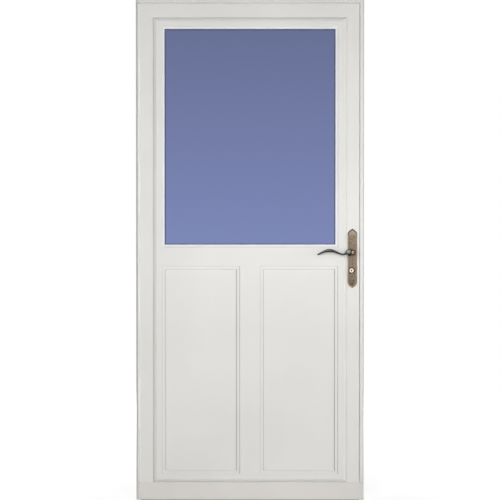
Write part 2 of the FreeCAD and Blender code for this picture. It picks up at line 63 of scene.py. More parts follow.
nodes = frame["nodes"]
record = frame["record"]
scene = bpy.context.scene
mm = 0.001

# Noise as (cells to a metre, detail), and depths of bump
drift_noise = (2.3, 3.0)
peel_noise = (420.0, 2.0)
gloss_noise = (14.0, 4.0)
mottle_detail = 5.0
peel_depth = 0.4 * mm
mottle_depth = 0.3 * mm
patina_grain = 0.08


# Finishes
def new_finish(name):
    """An empty material with its shader and coordinates at hand."""
    finish = bpy.data.materials.new(name)
    finish.use_nodes = True
    tree = finish.node_tree
    shader = tree.nodes["Principled BSDF"]
    place = tree.nodes.new("ShaderNodeTexCoord")
    return finish, tree, shader, place


def add_node(tree, kind, **values):
    """One node with its sockets set by name."""
    node = tree.nodes.new(kind)
    for name, value in values.items():
        node.inputs[name.replace("_", " ")].default_value = value
    return node


def worked_out(tree, operation, *terms):
    """The result of a sum on terms, each a socket or a plain number."""
    node = tree.nodes.new("ShaderNodeMath")
    node.operation = operation
    for term, socket in zip(terms, node.inputs):
        if isinstance(term, bpy.types.NodeSocket):
            tree.links.new(term, socket)
        else:
            socket.default_value = term
    return node.outputs[0]


def mapped(tree, source, **limits):
    """A source carried from one range to another."""
    node = add_node(tree, "ShaderNodeMapRange", **limits)
    tree.links.new(source, node.inputs["Value"])
    return node.outputs["Result"]


def part_of(tree, source, letter):
    """The X, Y or Z part of a vector."""
    node = tree.nodes.new("ShaderNodeSeparateXYZ")
    tree.links.new(source, node.inputs["Vector"])
    return node.outputs[letter]


def ramp(tree, source, stops):
    """A colour ramp fed by source, with stops of (position, colour)."""
    node = tree.nodes.new("ShaderNodeValToRGB")
    bar = node.color_ramp
    while len(bar.elements) < len(stops):
        bar.elements.new(0.5)
    for element, (position, colour) in zip(bar.elements, stops):
        element.position = position
        element.color = (*colour, 1.0)
    tree.links.new(source, node.inputs["Fac"])
    return node.outputs["Color"]


def noise(tree, place, scale, detail):
    """Noise on Object coordinates."""
    node = add_node(tree, "ShaderNodeTexNoise", Scale=scale, Detail=detail)
    tree.links.new(place.outputs["Object"], node.inputs["Vector"])
    return node.outputs["Fac"]


def relief(tree, shader, source, strength, depth):
    """Bump on a shader from a source of height."""
    bump = add_node(tree, "ShaderNodeBump", Strength=strength, Distance=depth)
    tree.links.new(source, bump.inputs["Height"])
    tree.links.new(bump.outputs["Normal"], shader.inputs["Normal"])


white_low, white_high = (0.78, 0.78, 0.758), (0.82, 0.82, 0.80)
baked_rough = (0.36, 0.48)
baked_grain = 0.05


def enamel_finish(name, low=white_low, high=white_high, rough=baked_rough, grain=baked_grain):
    """Baked enamel: a slow drift between two whites, uneven gloss, and fine orange peel in the bump."""
    finish, tree, shader, place = new_finish(name)
    tone = ramp(tree, noise(tree, place, *drift_noise), [(0.35, low), (0.65, high)])
    tree.links.new(tone, shader.inputs["Base Color"])
    relief(tree, shader, noise(tree, place, *peel_noise), grain, peel_depth)
    gloss = mapped(tree, noise(tree, place, *gloss_noise), To_Min=rough[0], To_Max=rough[1])
    tree.links.new(gloss, shader.inputs["Roughness"])
    return finish


def flanks_with_painted_light(finish, low_x, high_x, shares, painted_flank_tone):
    """Upright flanks between low_x and high_x take a painted tone: painted shade where it is darker, painted
    light where it is lighter.

    A ramp over the X part of the normal, from -1 to 1, gives the share of that tone.
    """
    tree = finish.node_tree
    place = next(node for node in tree.nodes if node.type == "TEX_COORD")
    base = tree.nodes["Principled BSDF"].inputs["Base Color"]
    lean = mapped(tree, part_of(tree, place.outputs["Normal"], "X"), From_Min=-1.0, From_Max=1.0)
    painted_share = ramp(tree, lean, [((1.0 + part) / 2, (share,) * 3) for part, share in shares])
    spot = part_of(tree, place.outputs["Object"], "X")
    inside = worked_out(tree, "COMPARE", spot, (low_x + high_x) / 2, (high_x - low_x) / 2)
    mix = add_node(tree, "ShaderNodeMixRGB", Color2=(*painted_flank_tone, 1.0))
    tree.links.new(worked_out(tree, "MULTIPLY", painted_share, inside), mix.inputs["Fac"])
    tree.links.new(base.links[0].from_socket, mix.inputs["Color1"])
    tree.links.new(mix.outputs["Color"], base)
    return finish


def mottled_finish(name, dark, light, roughness, metallic, scale, grain):
    """A finish that is mottled between two tones, with the same mottle in its bump."""
    finish, tree, shader, place = new_finish(name)
    mottle = noise(tree, place, scale, mottle_detail)
    tree.links.new(ramp(tree, mottle, [(0.3, dark), (0.7, light)]), shader.inputs["Base Color"])
    relief(tree, shader, mottle, grain, mottle_depth)
    shader.inputs["Roughness"].default_value = roughness
    shader.inputs["Metallic"].default_value = metallic
    return finish


def patina_and_painted_light_finish(name, stops, roughness, scale, uneven):
    """Aged metal with painted light: the piece's attribute of wear and painted highlight, broken up by
    mottle, runs from dark recess and painted shade to bared metal and painted highlight.
    """
    finish, tree, shader, place = new_finish(name)
    wear_and_painted_light = tree.nodes.new("ShaderNodeAttribute")
    wear_and_painted_light.attribute_name = "wear_and_painted_light"
    mottle = noise(tree, place, scale, mottle_detail)
    spread = mapped(tree, mottle, From_Min=0.25, From_Max=0.75, To_Min=-uneven, To_Max=uneven)
    tone = ramp(tree, worked_out(tree, "ADD", wear_and_painted_light.outputs["Fac"], spread), stops)
    tree.links.new(tone, shader.inputs["Base Color"])
    relief(tree, shader, mottle, patina_grain, mottle_depth)
    shader.inputs["Roughness"].default_value = roughness
    shader.inputs["Metallic"].default_value = 1.0
    return finish


def glass_finish(name, low_z, high_z, low_tint_and_painted_reflection, high_tint_and_painted_reflection):
    """Blue-tinted window glass with a painted reflection: its tone darkens towards the top."""
    finish, tree, shader, place = new_finish(name)
    height = mapped(tree, part_of(tree, place.outputs["Object"], "Z"), From_Min=low_z, From_Max=high_z)
    tone = ramp(tree, height, [(0.0, low_tint_and_painted_reflection), (1.0, high_tint_and_painted_reflection)])
    tree.links.new(tone, shader.inputs["Base Color"])
    shader.inputs["Transmission Weight"].default_value = 1.0
    shader.inputs["Roughness"].default_value = 0.02
    shader.inputs["IOR"].default_value = 1.45
    return finish


finishes = {
    "white_paint": enamel_finish("white_enamel"),
    "white_vinyl": enamel_finish(
        "white_vinyl", (0.84, 0.865, 0.92), (0.87, 0.895, 0.95), rough=(0.25, 0.35), grain=0.02),
    "white_seal": enamel_finish(
        "white_seal_rubber", (0.74, 0.74, 0.715), (0.78, 0.78, 0.755), rough=(0.6, 0.7), grain=0.1),
    "seal_grey": mottled_finish(
        "seal_grey_vinyl", (0.25, 0.25, 0.25), (0.30, 0.30, 0.30),
        roughness=0.6, metallic=0.0, scale=300.0, grain=0.1),
    "window_glass": glass_finish(
        "window_glass", low_z=1.05, high_z=1.94,
        low_tint_and_painted_reflection=(0.178, 0.222, 0.458), high_tint_and_painted_reflection=(0.108, 0.134, 0.275)),
    "black_gasket": mottled_finish(
        "black_gasket", (0.085, 0.088, 0.125), (0.105, 0.110, 0.155),
        roughness=0.6, metallic=0.0, scale=300.0, grain=0.1),
    "antique_brass": mottled_finish(
        "antique_brass", (0.17, 0.125, 0.085), (0.25, 0.19, 0.135),
        roughness=0.42, metallic=1.0, scale=90.0, grain=0.08),
    "polished_brass": mottled_finish(
        "polished_brass", (0.93, 0.82, 0.70), (0.98, 0.89, 0.78),
        roughness=0.24, metallic=1.0, scale=150.0, grain=0.02),
    "zinc_steel": mottled_finish(
        "zinc_steel", (0.50, 0.50, 0.51), (0.58, 0.58, 0.59),
        roughness=0.35, metallic=1.0, scale=200.0, grain=0.06),
}
# Plate: patina and wear, with painted highlights and darkening carried by its attribute
plate_patina_and_painted_light = patina_and_painted_light_finish("plate_brass_patina_and_painted_light", [
    (0.0, (0.030, 0.024, 0.017)), (0.45, (0.316, 0.244, 0.178)), (1.0, (0.463, 0.374, 0.279)),
], roughness=0.40, scale=130.0, uneven=0.24)
# Lever and hub: tones run from painted shade to painted highlight by the way each point faces; the hub's
# finish also carries the thumb turn's wear
lever_painted_light = patina_and_painted_light_finish("lever_brass_painted_light", [
    (0.0, (0.012, 0.012, 0.010)), (0.5, (0.065, 0.064, 0.052)), (1.0, (0.34, 0.345, 0.30)),
], roughness=0.30, scale=120.0, uneven=0.06)
hub_wear_and_painted_light = patina_and_painted_light_finish("hub_brass_wear_and_painted_light", [
    (0.0, (0.035, 0.025, 0.017)), (0.5, (0.17, 0.115, 0.080)), (1.0, (0.58, 0.43, 0.34)),
], roughness=0.30, scale=120.0, uneven=0.06)
rim_patina = patina_and_painted_light_finish("aged_rim_brass", [
    (0.0, (0.022, 0.016, 0.011)), (1.0, (0.13, 0.095, 0.065)),
], roughness=0.35, scale=120.0, uneven=0.08)
keyhole_shade_black = mottled_finish(
    "keyhole_shade_black", (0.010, 0.009, 0.008), (0.018, 0.016, 0.014),
    roughness=0.6, metallic=0.0, scale=400.0, grain=0.1)
screw_brass = mottled_finish(
    "screw_brass", (0.09, 0.07, 0.048), (0.16, 0.12, 0.085),
    roughness=0.4, metallic=1.0, scale=200.0, grain=0.06)

# Painted shade on the upright flanks in the two sunk panels, deepest on those that face the hinge side, and
# painted light on the flanks of the groove beside the latch stile
panels_low_x, panels_high_x = 0.085, 0.835
panel_shade_shares = [(-0.84, 0.64), (-0.62, 0.48), (-0.3, 0.0), (0.3, 0.0), (0.62, 0.24), (0.84, 0.42)]
panel_painted_shade_tone = (0.30, 0.30, 0.29)
groove_low_x, groove_high_x = 0.838, 0.880
groove_light_shares = [(-0.5, 1.0), (-0.3, 0.0), (0.3, 0.0), (0.5, 1.0)]
groove_painted_light_tone = (0.905, 0.905, 0.885)

panel_enamel_painted_light_and_shade = flanks_with_painted_light(
    enamel_finish("panel_enamel_painted_light_and_shade"), panels_low_x, panels_high_x, panel_shade_shares, panel_painted_shade_tone)
groove_enamel_painted_light = enamel_finish("groove_enamel_painted_light")
for finish in (panel_enamel_painted_light_and_shade, groove_enamel_painted_light):
    flanks_with_painted_light(finish, groove_low_x, groove_high_x, groove_light_shares, groove_painted_light_tone)
hinge_enamel = enamel_finish("hinge_enamel", (0.86, 0.86, 0.838), (0.90, 0.90, 0.878))
band_enamel = enamel_finish(
    "band_enamel", (0.738, 0.726, 0.697), (0.776, 0.764, 0.736), rough=(0.38, 0.50))

own_finishes = {
    "bottom_expander": band_enamel, "kick_panel": panel_enamel_painted_light_and_shade,
    "latch_stile": groove_enamel_painted_light, "surround_latch": groove_enamel_painted_light,
    "hinge_frame_leaf": hinge_enamel, "hinge_door_leaf": hinge_enamel,
}
slot_of = {part["node"]: part["material_slot"] for part in record["subparts"]}
for name, node in nodes.items():
    finish = own_finishes.get(name, finishes[slot_of[name]])
    if not node.data.materials:
        node.data.materials.append(finish)
    for index in range(len(node.data.materials)):
        node.data.materials[index] = finish


# Shapes: a skin is (points, quads, lids), whole arrays in metres
weld = 1e-6
tiny = 1e-12


def grid_quads(rows, columns, wrap_rows=False):
    """Quads between neighbours of a grid; its last column joins its first, its last row too if wrapped."""
    row = np.arange(rows if wrap_rows else rows - 1)[:, None]
    column = np.arange(columns)[None, :]
    next_row = (row + 1) % rows
    next_column = (column + 1) % columns
    corners = [row * columns + column, row * columns + next_column]
    corners += [next_row * columns + next_column, next_row * columns + column]
    return np.stack(np.broadcast_arrays(*corners), axis=-1).reshape(-1, 4)


def ring_skin(rings, first_lid=True, last_lid=True):
    """Closed rings of points, rows by columns by 3, joined in order, with a flat lid on an end if asked."""
    rows, columns, _ = rings.shape
    around = np.arange(columns)
    lids = []
    if first_lid:
        lids.append(around[::-1])
    if last_lid:
        lids.append((rows - 1) * columns + around)
    return rings.reshape(-1, 3), grid_quads(rows, columns), lids


def joined(*skins):
    """Several skins as one, each with its indices moved past the points before it."""
    starts = np.cumsum([0] + [len(skin[0]) for skin in skins])
    points = np.concatenate([skin[0] for skin in skins])
    quads = np.concatenate([skin[1] + start for skin, start in zip(skins, starts)])
    lids = [lid + start for skin, start in zip(skins, starts) for lid in skin[2]]
    return points, quads, lids


def fade(values, start, width):
    """Zero up to start, then a straight rise to one over width."""
    return np.clip((values - start) / width, 0.0, 1.0)


def spaced(values, count):
    """Count values spread through a list so that each gap of the list gets as many."""
    return np.interp(np.linspace(0, len(values) - 1, count), np.arange(len(values)), values)


def smooth_through(at, values, where):
    """Values through stations: on each span a cubic whose end slopes are the mean slopes there."""
    at = np.asarray(at, float)
    values = np.asarray(values, float)
    slopes = np.gradient(values, at)
    span = np.clip(np.searchsorted(at, where, side="right") - 1, 0, len(at) - 2)
    width = at[span + 1] - at[span]
    t = (where - at[span]) / width
    start = values[span] * (1 + 2 * t) * (1 - t) ** 2 + slopes[span] * width * t * (1 - t) ** 2
    end = values[span + 1] * t * t * (3 - 2 * t) + slopes[span + 1] * width * t * t * (t - 1)
    return start + end


def turned(centre, sense, profile, count=64):
    """A profile of (radius, depth) turned about Y: each is a circle round centre, depth counted by sense."""
    turn = np.linspace(0.0, 2.0 * np.pi, count, endpoint=False)
    x = centre[0] + profile[:, :1] * np.cos(turn)
    y = centre[1] + sense * profile[:, 1:] + np.zeros_like(x)
    z = centre[2] + profile[:, :1] * np.sin(turn)
    return np.stack([x, y, z], axis=-1)


def oval(count, power):
    """Points round an oval of half sides 1: cosine and sine raised to two over the power, signs kept."""
    turn = np.linspace(0.0, 2.0 * np.pi, count, endpoint=False)
    across, along = np.cos(turn), np.sin(turn)
    return (np.sign(part) * np.abs(part) ** (2.0 / power) for part in (across, along))


def carried(path, half_heights, half_depths, count=40):
    """An ellipse carried along a path in an XZ plane: its height lies across the path, its depth along Y."""
    turn = np.linspace(0.0, 2.0 * np.pi, count, endpoint=False)
    run = np.gradient(path, axis=0)
    run /= np.linalg.norm(run, axis=1)[:, None]
    across = np.stack([-run[:, 2], np.zeros(len(run)), run[:, 0]], axis=-1)
    rise = half_heights[:, None] * np.cos(turn)
    push = half_depths[:, None] * np.sin(turn)
    along_y = np.array([0.0, 1.0, 0.0])
    return path[:, None, :] + rise[..., None] * across[:, None, :] + push[..., None] * along_y


def facing(rings, towards):
    """How far a grid of rings faces a direction: the cross product of its two ways, turned outwards."""
    along = np.gradient(rings, axis=0)
    around = np.roll(rings, -1, axis=1) - np.roll(rings, 1, axis=1)
    normal = np.cross(along, around)
    normal /= np.linalg.norm(normal, axis=-1, keepdims=True) + tiny
    outward = rings - rings.mean(axis=1, keepdims=True)
    normal *= np.where((normal * outward).sum(axis=-1, keepdims=True) < 0.0, -1.0, 1.0)
    towards = np.asarray(towards, float)
    return normal @ (towards / np.linalg.norm(towards))


def put_piece(name, skin, finish, body, replaced=(), sharp=35.0, wear_and_painted_light=None):
    """A mesh piece from a skin, smooth apart from edges sharper than the given angle, riding on a body.

    wear_and_painted_light is the share of bared metal and of painted highlight at each point, kept as an
    attribute of the piece.
    """
    points, quads, lids = skin
    mesh = bpy.data.meshes.new(name)
    mesh.from_pydata(points.tolist(), [], quads.tolist() + [lid.tolist() for lid in lids])
    if wear_and_painted_light is not None:
        layer = mesh.attributes.new("wear_and_painted_light", "FLOAT", "POINT")
        layer.data.foreach_set("value", np.ravel(wear_and_painted_light).astype(np.float32))
    work = bmesh.new()
    work.from_mesh(mesh)
    bmesh.ops.remove_doubles(work, verts=work.verts, dist=weld)
    bmesh.ops.recalc_face_normals(work, faces=work.faces)
    work.to_mesh(mesh)
    work.free()
    mesh.shade_smooth()
    mesh.set_sharp_from_angle(angle=math.radians(sharp))
    mesh.materials.append(finish)
    piece = bpy.data.objects.new(name, mesh)
    scene.collection.objects.link(piece)
    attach(piece, body)
    if replaced:
        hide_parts(*replaced)


# Handle plates
plate_low, plate_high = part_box("outer_escutcheon")
plate_x = (plate_low.x + plate_high.x) / 2
plate_mid = (plate_low.z + plate_high.z) / 2
plate_half_width = (plate_high.x - plate_low.x) / 2
plate_half_height = (plate_high.z - plate_low.z) / 2
weather_face = plate_high.y
room_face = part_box("inner_escutcheon")[0].y
plate_thickness = 6.0 * mm
spindle_low, spindle_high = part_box("lever_spindle")
lever_z = (spindle_low.z + spindle_high.z) / 2
ring_low, ring_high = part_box("key_cylinder")
lock_x = (ring_low.x + ring_high.x) / 2
lock_z = (ring_low.z + ring_high.z) / 2

arch_rise = 25.0 * mm
arch_power = 2.2
arch_points = 24
side_points = 30
tip_share, shoulder_share = 1.6, 0.2


def plate_rings(seat, sense):
    """Nested outlines of the plate, one for each (inset, height) of its profile.

    An outline is two straight sides and two pointed arches; on an arch the half width falls as one less the
    share of the rise to a power, so that it is round at the shoulder and meets in a point.
    """
    share = np.sin(np.linspace(0.0, np.pi / 2, arch_points))
    inset, height = plate_profile[:, :1], plate_profile[:, 1:]
    half = plate_half_width - inset
    tall = plate_half_height - tip_share * inset
    shoulder = plate_half_height - arch_rise - shoulder_share * inset
    arch_x = half * (1.0 - share ** arch_power)
    arch_z = shoulder + (tall - shoulder) * share
    side_z = shoulder * np.linspace(1.0, -1.0, side_points + 2)[1:-1]
    side_x = half + np.zeros_like(side_z)
    back_x, back_z = arch_x[:, -2::-1], arch_z[:, -2::-1]
    x = np.concatenate([arch_x, -back_x, -side_x, -arch_x, back_x, side_x], axis=1)
    z = np.concatenate([arch_z, back_z, side_z, -arch_z, -back_z, -side_z], axis=1)
    y = seat + sense * height + np.zeros_like(x)
    return np.stack([plate_x + x, y, plate_mid + z], axis=-1)


# Plate as (inset, height), rose as (radius, height), and the bared metal on each of their lines
plate_profile = np.array([
    (0.0, 0.0), (0.0, 2.4), (0.3, 2.9), (0.9, 3.3), (1.8, 3.5), (2.1, 3.6), (2.5, 4.4), (3.1, 5.3),
    (3.9, 5.85), (4.8, 6.0), (5.7, 5.85), (6.3, 5.4), (6.6, 4.9), (7.0, 4.6), (8.6, 4.6), (8.9, 4.9),
    (9.4, 5.15), (9.9, 4.9), (10.2, 4.6), (11.5, 4.6), (13.0, 4.6), (15.0, 4.6), (16.5, 4.6),
]) * mm
plate_worn = np.array([
    0.10, 0.10, 0.15, 0.25, 0.30, 0.20, 0.35, 0.50, 0.65, 0.70, 0.60, 0.40, 0.25, 0.30, 0.40, 0.50,
    0.58, 0.48, 0.42, 0.44, 0.44, 0.44, 0.44,
])
rose_profile = np.array([
    (15.4, 4.0), (15.4, 5.4), (14.9, 6.1), (13.9, 6.5), (13.5, 7.2), (13.1, 8.2), (12.3, 8.8), (11.2, 9.0),
    (9.0, 9.0),
]) * mm
rose_worn = np.array([0.1, 0.2, 0.4, 0.3, 0.15, 0.4, 0.5, 0.3, 0.1])
# Shares for the darker lower part, the darker rim round the upper point and the dark field above the lower
# point; for the rubbed rim, and for painted highlights inside the upper point and on the latch-side ledge
low_loss, head_loss, foot_loss = 0.35, 0.98, 0.45
rim_gain, tip_gain, ledge_gain = 0.35, 0.45, 0.60


def handle_plate(name, seat, sense, replaced):
    """A plate of nested outlines with the turned rose of the lever on it.

    The rim round the upper point is darker, dark patina lies in the field above the lower point, and the
    plate is darker towards the bottom. Painted highlights lie inside the upper point and on the latch-side
    ledge.
    """
    rings = plate_rings(seat, sense)
    rose = turned((plate_x, seat, lever_z), sense, rose_profile)
    rise = rings[..., 2] - plate_mid
    inset = plate_profile[:, :1]
    head = fade(rise, plate_half_height - 27.0 * mm, 12.0 * mm)
    tip = fade(rise, plate_half_height - 28.0 * mm, 8.0 * mm)
    foot = fade(-rise, plate_half_height - 27.0 * mm, 12.0 * mm)
    low = fade(-rise, 30.0 * mm, 60.0 * mm)
    rim = 1.0 - fade(inset, 2.2 * mm, 2.0 * mm)
    field = fade(inset, 6.5 * mm, 2.0 * mm)
    ledge = 1.0 - fade(np.abs(inset - 7.8 * mm), 0.0, 1.6 * mm)
    latch_side = fade(rings[..., 0] - plate_x, 0.0, 4.0 * mm)
    # Darker towards the bottom; the outer rim rubbed brighter away from the upper point
    wear_and_painted_light = plate_worn[:, None] * (1.0 - low_loss * low) + rim_gain * (1.0 - head) * rim
    # Painted highlights inside the upper point and on the ledge along the latch side
    wear_and_painted_light += tip_gain * tip * (1.0 - rim) + ledge_gain * ledge * latch_side
    # The rim round the upper point is darker, and the field above the lower point carries dark patina
    wear_and_painted_light *= (1.0 - head_loss * head * rim) * (1.0 - foot_loss * foot * field)
    wear_and_painted_light = np.concatenate([wear_and_painted_light.ravel(), np.repeat(rose_worn, rose.shape[1])])
    skin = joined(ring_skin(rings), ring_skin(rose))
    put_piece(name, skin, plate_patina_and_painted_light, "door", replaced, wear_and_painted_light=wear_and_painted_light)


handle_plate("outer_handle_plate", weather_face, -1, ["outer_escutcheon"])
handle_plate("inner_handle_plate", room_face, 1, ["inner_escutcheon"])

# Levers: stations along the arm as (distance from the spindle, rise, half height, half depth)
lever_stations = np.array([
    (0.8, 0.0, 0.0, 0.0), (1.4, 0.0, 4.2, 3.4), (3.2, 0.0, 7.8, 6.2), (6.2, 0.1, 11.0, 8.8),
    (10.4, 0.2, 13.6, 10.6), (15.2, 0.2, 14.6, 11.0), (19.8, 0.1, 13.7, 10.4), (23.4, -0.6, 11.3, 9.0),
    (26.6, -1.8, 8.2, 7.4), (29.2, -3.4, 5.6, 6.0), (32.2, -5.0, 4.2, 5.2), (36.4, -6.4, 3.4, 4.8),
    (42.0, -6.8, 3.1, 4.7), (50.0, -5.2, 3.2, 4.8), (61.0, -1.2, 3.8, 5.0), (73.0, 3.6, 4.8, 5.3),
    (85.5, 7.6, 5.9, 5.5), (97.0, 8.9, 6.4, 5.5), (106.5, 7.8, 6.0, 5.2), (116.0, 5.0, 5.2, 4.7),
    (126.0, 0.8, 4.3, 4.2), (135.0, -3.6, 3.6, 3.6), (141.4, -6.8, 2.9, 2.9), (144.6, -8.4, 2.0, 2.1),
    (146.0, -9.0, 0.0, 0.0),
]) * mm
hub_profile = np.array([
    (8.0, -3.0), (8.0, 3.2), (10.2, 3.3), (10.8, 3.9), (10.9, 4.6), (10.4, 5.4), (8.9, 6.1), (7.9, 8.0),
    (7.4, 12.0), (7.3, 17.0), (7.7, 22.0), (8.6, 26.0), (9.6, 27.2), (11.0, 28.2), (11.8, 30.0),
    (12.1, 32.5), (11.9, 35.5), (11.2, 38.6), (9.9, 41.3), (8.0, 43.4), (5.6, 44.8), (2.9, 45.5),
    (0.0, 45.7),
]) * mm
lever_standoff = 36.0 * mm
lever_rings = 240

# Painted highlight on the levers: the way it faces indoors; outdoors its Y is turned round
arm_highlight_way = np.array([-0.25, 0.9, 0.30])
hub_highlight_way = np.array([-0.2, 0.95, 0.15])
highlight_start, highlight_width = 0.70, 0.28
arm_power, arm_least, thin_share, thick_share = 1.5, 0.12, 0.55, 0.45
hub_power, hub_least = 1.3, 0.05


def lever(name, face, sense, replaced):
    """An ellipse carried along the S-shaped arm from its ball, and the turned hub over the spindle beside it.

    A painted highlight lies where it faces a set way, most of all on the ball and on the front of the hub;
    facing away, the metal is painted dark.
    """
    along = lever_stations[:, 0]
    where = spaced(along, lever_rings)
    rise, height, depth = (smooth_through(along, lever_stations[:, column], where) for column in (1, 2, 3))
    y = np.full_like(where, face + sense * lever_standoff)
    path = np.stack([plate_x - where, y, lever_z + rise], axis=-1)
    rings = carried(path, np.maximum(height, 0.0), np.maximum(depth, 0.0))
    turned_round = np.array([1, sense, 1])
    wear_and_painted_highlight = fade(facing(rings, arm_highlight_way * turned_round), highlight_start, highlight_width)
    thick = fade(height, 3.0 * mm, 10.0 * mm)[:, None]
    put_piece(name + "_arm", ring_skin(rings, False, False), lever_painted_light, "lever", replaced,
              wear_and_painted_light=wear_and_painted_highlight ** arm_power * (thin_share + thick_share * thick) + arm_least)
    hub = turned((plate_x, face, lever_z), sense, hub_profile)
    wear_and_painted_highlight = fade(facing(hub, hub_highlight_way * turned_round), highlight_start, highlight_width)
    put_piece(name + "_hub", ring_skin(hub, True, False), hub_wear_and_painted_light, "lever",
              wear_and_painted_light=wear_and_painted_highlight ** hub_power + hub_least)


lever("outer_lever", weather_face - plate_thickness, -1, ["outer_lever"])
lever("inner_lever", room_face + plate_thickness, 1, ["inner_lever"])

# Rim of the key cylinder: a closed section of (radius, depth) turned round the lock
rim_section = np.array([
    (12.5, -20.0), (12.5, 2.2), (12.2, 2.9), (11.6, 3.35), (11.0, 3.5), (10.5, 3.3), (10.25, 2.8),
    (10.15, 2.0), (10.1, -20.0),
]) * mm
rim_worn = np.array([0.0, 0.1, 0.3, 0.5, 0.4, 0.2, 0.05, 0.0, 0.0])
rim_rings = turned((lock_x, weather_face - plate_thickness, lock_z), -1, rim_section)
rim_skin = (rim_rings.reshape(-1, 3), grid_quads(*rim_rings.shape[:2], wrap_rows=True), [])
put_piece("lock_rim", rim_skin, rim_patina, "door", ["key_cylinder"],
          wear_and_painted_light=np.repeat(rim_worn, rim_rings.shape[1]))

# Painted shade at the bottom of the keyhole: a black low dome turned about the eye of the keyhole
keyhole_shade_profile = np.array([(3.1, -2.6), (3.1, -2.0), (2.4, -1.5), (1.2, -1.2), (0.0, -1.1)]) * mm
keyhole_eye = 1.0 * mm
keyhole_shade = turned((lock_x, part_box("key_plug")[0].y, lock_z + keyhole_eye), -1, keyhole_shade_profile)
put_piece("keyhole_painted_shade", ring_skin(keyhole_shade, True, False), keyhole_shade_black, "lock")

# Thumb turn indoors: (radius, depth) of its boss, and (half thickness, half length, depth) along its grip
boss_profile = np.array([
    (7.0, -8.0), (7.0, 1.6), (10.2, 2.0), (10.8, 2.3), (11.0, 2.9), (11.0, 5.6), (10.8, 6.3), (10.2, 6.9),
    (9.2, 7.4), (7.0, 7.9), (0.0, 8.2),
]) * mm
boss_worn = np.array([0.0, 0.0, 0.1, 0.2, 0.35, 0.3, 0.45, 0.4, 0.25, 0.1, 0.05])
grip_stations = np.array([
    (3.5, 10.2, 7.0), (3.2, 10.6, 8.6), (2.8, 11.8, 11.0), (2.6, 13.2, 13.6), (2.7, 14.4, 16.4),
    (3.0, 15.0, 19.0), (3.2, 14.9, 21.0), (3.0, 14.5, 22.6), (2.4, 13.7, 23.5), (1.4, 12.4, 23.9),
    (0.0, 10.8, 24.0),
]) * mm
grip_power = 2.6
grip_rings, grip_points = 80, 56
grip_least, grip_gain = 0.3, 0.55
middle_share, end_share = 0.4, 0.6


def thumb_turn(name, face, replaced):
    """A turned boss with a grip: an oval carried outwards while it waists and flares, bared at its end."""
    stations = grip_stations[:, 2]
    depth = spaced(stations, grip_rings)
    thick, length = (smooth_through(stations, grip_stations[:, column], depth)[:, None] for column in (0, 1))
    across, along = oval(grip_points, grip_power)
    x = lock_x + np.maximum(thick, 0.0) * across
    y = np.broadcast_to(face + depth[:, None], x.shape)
    grip = np.stack([x, y, lock_z + length * along], axis=-1)
    boss = turned((lock_x, face, lock_z), 1, boss_profile)
    sine = np.abs(along) ** (grip_power / 2.0)
    wear_and_painted_highlight = fade(depth[:, None], 14.0 * mm, 9.0 * mm) * (middle_share + end_share * sine)
    grip_worn = grip_least + grip_gain * wear_and_painted_highlight
    wear_and_painted_light = np.concatenate([np.repeat(boss_worn, boss.shape[1]), grip_worn.ravel()])
    skin = joined(ring_skin(boss, True, False), ring_skin(grip, True, False))
    put_piece(name, skin, hub_wear_and_painted_light, "lock", replaced, wear_and_painted_light=wear_and_painted_light)


thumb_turn("thumb_turn_grip", room_face + plate_thickness, ["thumb_turn"])

# Rubber pad that closes the corner of the weather strip over the hinge: (inset in mm, share of its depth)
pad_profile = np.array([(1.0, 0.0), (0.45, 0.02), (0.15, 0.07), (0.0, 0.16), (0.0, 0.9), (0.3, 1.0)])
pad_power = 6.0
pad_points = 48


def corner_pad(name, low, high):
    """An oval carried back along Y through a box, drawn in at its rounded front."""
    low, high = np.asarray(low), np.asarray(high)
    half, centre = (high - low) / 2, (low + high) / 2
    across, along = oval(pad_points, pad_power)
    inset = pad_profile[:, :1] * mm
    x = centre[0] + (half[0] - inset) * across
    y = np.broadcast_to(low[1] + 2.0 * half[1] * pad_profile[:, 1:], x.shape)
    z = centre[2] + (half[2] - inset) * along
    skin = ring_skin(np.stack([x, y, z], axis=-1))
    put_piece(name, skin, finishes["white_seal"], "frame")


fin_low, fin_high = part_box("head_fin")
leaf_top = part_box("hinge_door_leaf")[1].z
pin_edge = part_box("hinge_pin")[1].x
corner_pad("weather_strip_corner_pad",
           (pin_edge + 0.2 * mm, fin_low.y, leaf_top + 0.6 * mm),
           (fin_low.x - 0.3 * mm, fin_high.y - 1.0 * mm, fin_high.z - 0.1 * mm))

# Screws: rings of the head as shares of its radius; the cross and the fall of the dome as shares too
head_shares = np.array([0.0, 0.12, 0.2, 0.3, 0.42, 0.5, 0.56, 0.7, 0.85, 0.96, 1.0, 1.0])[:, None]
head_points = 48
cross_half_width, cross_reach, cross_depth = 0.13, 0.52, 0.5
dome_fall, skirt_depth = 0.55, 0.2
screw_sharp = 50.0

# Radius and height of the heads in the jambs, on the inner plate, and in the strike and the lock's face
jamb_head = (3.8 * mm, 1.6 * mm)
plate_head = (3.6 * mm, 1.8 * mm)
edge_head = (3.4 * mm, 0.9 * mm)


